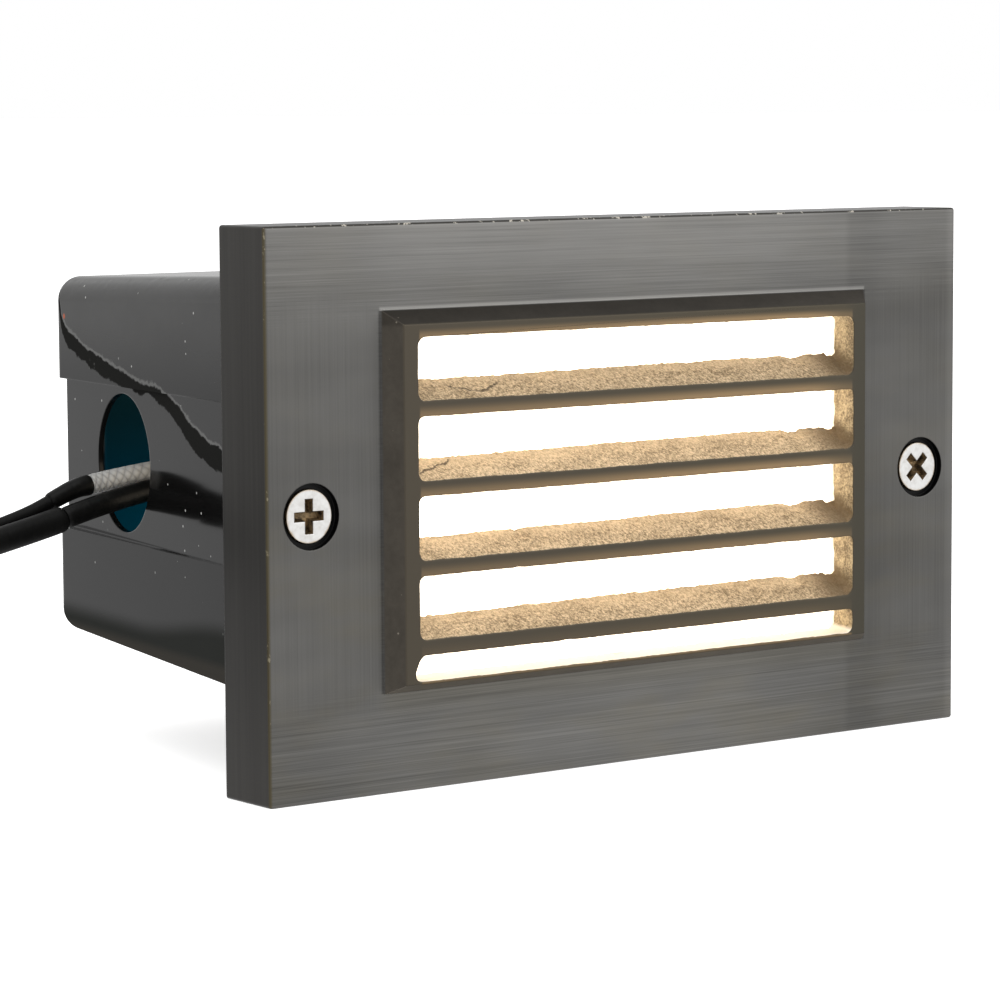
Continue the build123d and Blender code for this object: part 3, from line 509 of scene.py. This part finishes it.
# ------------------------------------------------------------------ cords
lead_a_points = [
    (0.002, 0.039, 0.004),
    (0.002, 0.0495, 0.004),
    (-0.004, 0.0575, 0.0044),
    (-0.016, 0.059, 0.004),
    (-0.0325, 0.0548, 0.003),
    (-0.046, 0.0502, 0.0021),
    (-0.056, 0.0488, 0.0013),
    (-0.063, 0.049, 0.0003),
    (-0.06545, 0.04907, -0.00005),
    (-0.07, 0.0492, -0.002),
    (-0.07364, 0.049304, -0.00356),
    (-0.0792, 0.0495, -0.0052),
    (-0.08476, 0.0497, -0.00669),
    (-0.09008, 0.0497, -0.00811),
]
lead_b_points = [
    (-0.002, 0.039, 0.004),
    (-0.002, 0.0478, 0.004),
    (-0.0084, 0.054, 0.003),
    (-0.0206, 0.0534, 0.0022),
    (-0.033, 0.0488, 0.0012),
    (-0.044, 0.0463, 0.0008),
    (-0.053, 0.046, -0.0008),
    (-0.0611, 0.04573, -0.00224),
    (-0.0694, 0.046, -0.0044),
    (-0.0734, 0.04613, -0.00544),
    (-0.0809, 0.0458, -0.00705),
    (-0.08545, 0.0459, -0.00801),
    (-0.08979, 0.0459, -0.00917),
]
coil_middle = (-0.162, 0.016)
coil_floor = -0.0391
cable_points = [
    (-0.10449, 0.0475, -0.01228),
    (-0.11415, 0.0475, -0.01487),
    (-0.1235, 0.048, -0.021),
    (-0.1307, 0.0488, -0.0296),
    (-0.14, 0.0489, -0.0359),
    (-0.1507, 0.048, coil_floor),
]


def coil_points():
    """Twenty points a turn: in at a steady rate, up a layer, and out again."""
    pitch, turns_in, turns_out, outer, around = 0.0056, 2.25, 2.0, 0.0322, 20
    points = []
    for step in range(round((turns_in + turns_out) * around) + 1):
        turned = step / around - turns_in
        angle = math.pi / 2 + 2 * math.pi * (step / around)
        climb = min(max(turned * 2 + 0.5, 0.0), 1.0)
        radius = outer - pitch * turns_in + pitch * abs(turned)
        points.append(
            (
                coil_middle[0] + radius * math.cos(angle),
                coil_middle[1] + radius * math.sin(angle),
                coil_floor + pitch * climb * climb * (3 - 2 * climb),
            )
        )
    last = Vector(points[-1])
    return points + [tuple(last + Vector((-0.0001, -0.005, 0.0)))]


def lay_cord(name, points, diameter, finish):
    """A cord along one smooth line through its route."""
    data = bpy.data.curves.new(name, "CURVE")
    data.dimensions = "3D"
    data.resolution_u = 8
    data.bevel_depth = diameter / 2
    data.bevel_resolution = 6
    data.use_fill_caps = True
    spline = data.splines.new("NURBS")
    spline.points.add(len(points) - 1)
    for spot, point in zip(spline.points, points):
        spot.co = (*point, 1.0)
    spline.order_u = 3
    spline.use_endpoint_u = True
    data.materials.append(finish.material)
    cord = bpy.data.objects.new(name, data)
    bpy.context.collection.objects.link(cord)
    return cord


def cord_line(cord):
    """Points along a cord's own line."""
    bare = cord.data.copy()
    bare.bevel_depth = 0.0
    bare.resolution_u = 16
    thread = bpy.data.objects.new("thread", bare)
    bpy.context.collection.objects.link(thread)
    bpy.context.view_layer.update()
    mesh = bpy.data.meshes.new_from_object(thread.evaluated_get(bpy.context.evaluated_depsgraph_get()))
    line = [vertex.co.copy() for vertex in mesh.vertices]
    bpy.data.objects.remove(thread)
    return line


def link_mesh(name, mesh, finish):
    mesh.name = name
    piece = bpy.data.objects.new(name, mesh)
    mesh.materials.clear()
    mesh.materials.append(finish.material)
    bpy.context.collection.objects.link(piece)
    return piece


def sleeve(name, line, start_x, end_x, diameter, finish, swell=None):
    """A tube drawn over a lead between two places along -X; swell gives its girth along it."""
    inside = [point for point in line if end_x <= point.x <= start_x]
    data = bpy.data.curves.new(name, "CURVE")
    data.dimensions = "3D"
    data.bevel_depth = diameter / 2
    data.bevel_resolution = 8
    data.use_fill_caps = True
    spline = data.splines.new("POLY")
    spline.points.add(len(inside) - 1)
    for number, (spot, point) in enumerate(zip(spline.points, inside)):
        spot.co = (*point, 1.0)
        spot.radius = swell(number / (len(inside) - 1)) if swell else 1.0
    tube = bpy.data.objects.new(name + "_curve", data)
    bpy.context.collection.objects.link(tube)
    bpy.context.view_layer.update()
    mesh = bpy.data.meshes.new_from_object(tube.evaluated_get(bpy.context.evaluated_depsgraph_get()))
    bpy.data.objects.remove(tube)
    for face in mesh.polygons:
        face.use_smooth = True
    return link_mesh(name, mesh, finish)


bronze = cast_bronze()
steel = zinc("zinc_steel")
jacket = plain("cable_jacket", (0.02, 0.02, 0.021), 0.45)
wire_black = shrink_black("wire_black", 0.5)
shrunk = shrink_black("shrink_black", 0.38)
white_braid = braid()

wire_a = lay_cord("wire_a", lead_a_points, 0.0023, wire_black)
line_a = cord_line(wire_a)
wire_b = lay_cord("wire_b", lead_b_points, 0.0026, wire_black)
line_b = cord_line(wire_b)


def cut_end(place):
    """A sleeve's girth, drawn in a little at each cut end."""
    return 1.0 - 0.1 * (2 * abs(place - 0.5)) ** 24


def tapered_end(place):
    """Full over the sleeve it grips, slimmer over the wire."""
    return (1.0 - 0.17 * place) * cut_end(place)


braid_a = sleeve("braid_a", line_a, 1.0, -0.063, 0.0033, white_braid, cut_end)
braid_b = sleeve("braid_b", line_b, 1.0, -0.053, 0.0033, white_braid, cut_end)
tube_a = sleeve("tube_a", line_a, -0.0625, -0.07, 0.0034, shrunk, tapered_end)
tube_b = sleeve("tube_b", line_b, -0.0525, -0.0694, 0.0035, shrunk, cut_end)
cover_b = sleeve("cover_b", line_b, -0.0692, -0.0897, 0.0042, wire_black, cut_end)
supply = lay_cord("supply", cable_points + coil_points(), 0.005, jacket)
for piece, node in (
    (wire_a, "lead_a"),
    (braid_a, "socket_lead_a"),
    (tube_a, "shrink_a"),
    (braid_b, "socket_lead_b"),
    (tube_b, "shrink_b"),
    (cover_b, "lead_b"),
):
    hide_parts(node)
    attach(piece, "housing")
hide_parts("cable", "cable_coil")
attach(wire_b, "housing")
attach(supply, "housing")


# ------------------------------------------------------------------ faceplate casting
def rough_casting():
    """The faceplate with its louvres as cast: uneven edges, sandy slopes."""
    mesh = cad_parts["faceplate"].data.copy()
    for layer in [layer for layer in mesh.attributes if layer.name == "custom_normal"]:
        mesh.attributes.remove(layer)
    cast = bmesh.new()
    cast.from_mesh(mesh)
    bmesh.ops.remove_doubles(cast, verts=cast.verts, dist=1e-6)

    def in_window(face):
        places = [v.co for v in face.verts]
        return all(
            abs(co.x) < window_x + 0.0017
            and abs(co.z) < window_z + 2e-4
            and co.y < face_back_y + 1e-5
            for co in places
        ) and not all(co.y < raised_y + 1e-5 and abs(co.z) > window_z - 1e-5 for co in places)

    def cut(places, normal, wanted):
        for place in places:
            faces = [face for face in cast.faces if wanted(face)]
            edges = {edge for face in faces for edge in face.edges}
            verts = {vert for face in faces for vert in face.verts}
            bmesh.ops.bisect_plane(
                cast,
                geom=[*faces, *edges, *verts],
                plane_co=place * normal,
                plane_no=normal,
                dist=1e-6,
            )

    def end_wall(face):
        return in_window(face) and abs(face.calc_center_median().x) > window_x - 0.0014

    depths = [raised_y + 0.0003] + [raised_y + 0.0008 * step for step in range(1, 9)]
    heights = [window_z - 0.0009 * step for step in range(1, 58)]
    widths = [-window_x + 0.00055 * step for step in range(1, 159)]
    cut(depths, Vector((0, 1, 0)), in_window)
    cut(heights, Vector((0, 0, 1)), end_wall)
    cut(widths, Vector((1, 0, 0)), in_window)
    moved = {vert for face in cast.faces if in_window(face) for vert in face.verts}
    cast.normal_update()

    def bell(distance, spread):
        return math.exp(-((distance / spread) ** 2))

    for vert in moved:
        here = vert.co
        depth = (here.y - raised_y) * 1000
        seed = here * 1000
        coarse = noise.noise(seed * Vector((0.22, 0.5, 0.5)))
        fine = noise.noise(seed * 1.7 + Vector((31.0, 7.0, 3.0)))
        chip = max(0.0, noise.noise(seed * Vector((0.3, 0.8, 0.8)) + Vector((5.0, 90.0, 2.0))) - 0.42)
        amount = 0.05 * coarse + 0.05 * fine
        if depth > 0.1:
            amount = 0.11 * coarse + 0.1 * fine
        if depth > 5.0:
            amount = 0.12 * coarse + 0.24 * fine - 0.9 * chip
        push = vert.normal.copy()
        if depth < 0.1:
            push.y = 0.0
            amount -= 0.35 * chip
        if push.length > 1e-6:
            vert.co = here + push.normalized() * amount * 0.001
        # the fins rise a little more at the back, most to the right, and dip once near that end
        on_fin = abs(here.x) < window_x - 0.0014 and abs(here.z) < window_z - 0.0003
        if on_fin and depth > 0.1:
            dip = 0.5 * bell(seed.x - 35.2, 1.6) * (depth > 4)
            rise = 0.45 * min(max((seed.x + 35) / 60, 0.0), 1.0) - dip
            vert.co.z += rise * min(depth / 5.7, 1.0) * 0.001
        # the last slot flares at its lower left corner
        if here.x < 0.0016 - window_x and here.z < -0.0225:
            vert.co.x -= 0.0011 * min((-0.0225 - here.z) / 0.003, 1.0)
        # a chipped notch over the first slot
        if here.z > window_z - 1e-4 and depth > 4:
            vert.co.z += 0.5 * bell(seed.x + 30.3, 1.3) * 0.001
    cast.normal_update()
    for face in cast.faces:
        face.smooth = max(abs(c) for c in face.normal) < 0.9999
    cast.to_mesh(mesh)
    cast.free()
    mesh.set_sharp_from_angle(angle=math.radians(32))
    return link_mesh("casting", mesh, bronze)


casting = rough_casting()
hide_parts("faceplate")
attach(casting, "cover")

# ------------------------------------------------------------------ finishes on the CAD pieces
dress("lens", lit_lens())
dress("back_box", box_gloss())
screw_zinc = cover_screw_zinc()
dress("cover_screw_left", screw_zinc)
dress("cover_screw_right", screw_zinc)
for name in (
    "lens_clips",
    "lens_clip_screws",
    "lamp_bracket",
    "bracket_screws",
    "socket_screws",
    "lamp_pins",
):
    dress(name, steel)
for name, finish in (
    ("lens_seal", plain("seal_silicone", (0.86, 0.83, 0.74), 0.5)),
    ("faceplate_gasket", plain("foam_rubber", (0.03, 0.03, 0.033), 0.9, grain=2.0, depth=0.15)),
    ("screw_inserts", plain("insert_brass", (0.7, 0.5, 0.24), 0.35, metal=1.0)),
    ("socket_contacts", plain("contact_brass", (0.7, 0.55, 0.28), 0.35, metal=1.0)),
    ("lamp_socket", plain("ceramic", (0.8, 0.77, 0.7), 0.55)),
    ("lamp_base", plain("lamp_ceramic", (0.82, 0.8, 0.75), 0.5)),
    ("lamp_board", plain("board_white", (0.85, 0.85, 0.83), 0.45)),
    ("lamp_leds", plain("led_phosphor", (0.9, 0.75, 0.25), 0.4)),
    (
        "lamp_cover",
        plain("lamp_clear", (0.9, 0.9, 0.9), 0.1, vary=0.02, transmission_weight=0.9),
    ),
    ("cable_boot", shrunk),
    ("coil_tie", plain("tie_nylon", (0.03, 0.03, 0.03), 0.5)),
    ("cable_cores", plain("core_grey", (0.6, 0.59, 0.56), 0.5)),
    ("core_strands", plain("bare_copper", (0.75, 0.4, 0.24), 0.35, metal=1.0)),
):
    dress(name, finish)


# ------------------------------------------------------------------ floor and light
def studio():
    floor_mesh = bpy.data.meshes.new("floor")
    floor = bmesh.new()
    bmesh.ops.create_grid(floor, x_segments=1, y_segments=1, size=40.0)
    bmesh.ops.translate(floor, verts=floor.verts, vec=(0, 0, wall_floor))
    floor.to_mesh(floor_mesh)
    floor.free()
    pale = Finish(
        "pale_floor",
        base_color=(0.9, 0.9, 0.9),
        roughness=0.8,
        emission_color=(1.0, 1.0, 1.0),
        emission_strength=0.6,
    )
    ground = link_mesh("floor", floor_mesh, pale)
    ground.visible_diffuse = False
    ground.visible_glossy = False
    world = bpy.data.worlds.new("studio")
    world.use_nodes = True
    world.node_tree.nodes["Background"].inputs["Color"].default_value = (1.0, 1.0, 1.0, 1.0)
    world.node_tree.nodes["Background"].inputs["Strength"].default_value = 1.0
    bpy.context.scene.world = world
    for name, place, size, power in (
        ("overhead", (-0.3, -0.5, 1.3), 1.2, 7.0),
        ("front_fill", (0.9, -1.1, 0.5), 0.8, 3.0),
    ):
        data = bpy.data.lights.new(name, "AREA")
        data.size = size
        data.energy = power
        lamp = bpy.data.objects.new(name, data)
        lamp.location = place
        lamp.rotation_euler = (Vector((0, 0, 0)) - Vector(place)).to_track_quat("-Z", "Y").to_euler()
        bpy.context.collection.objects.link(lamp)


studio()
bpy.context.scene.view_settings.view_transform = "Standard"
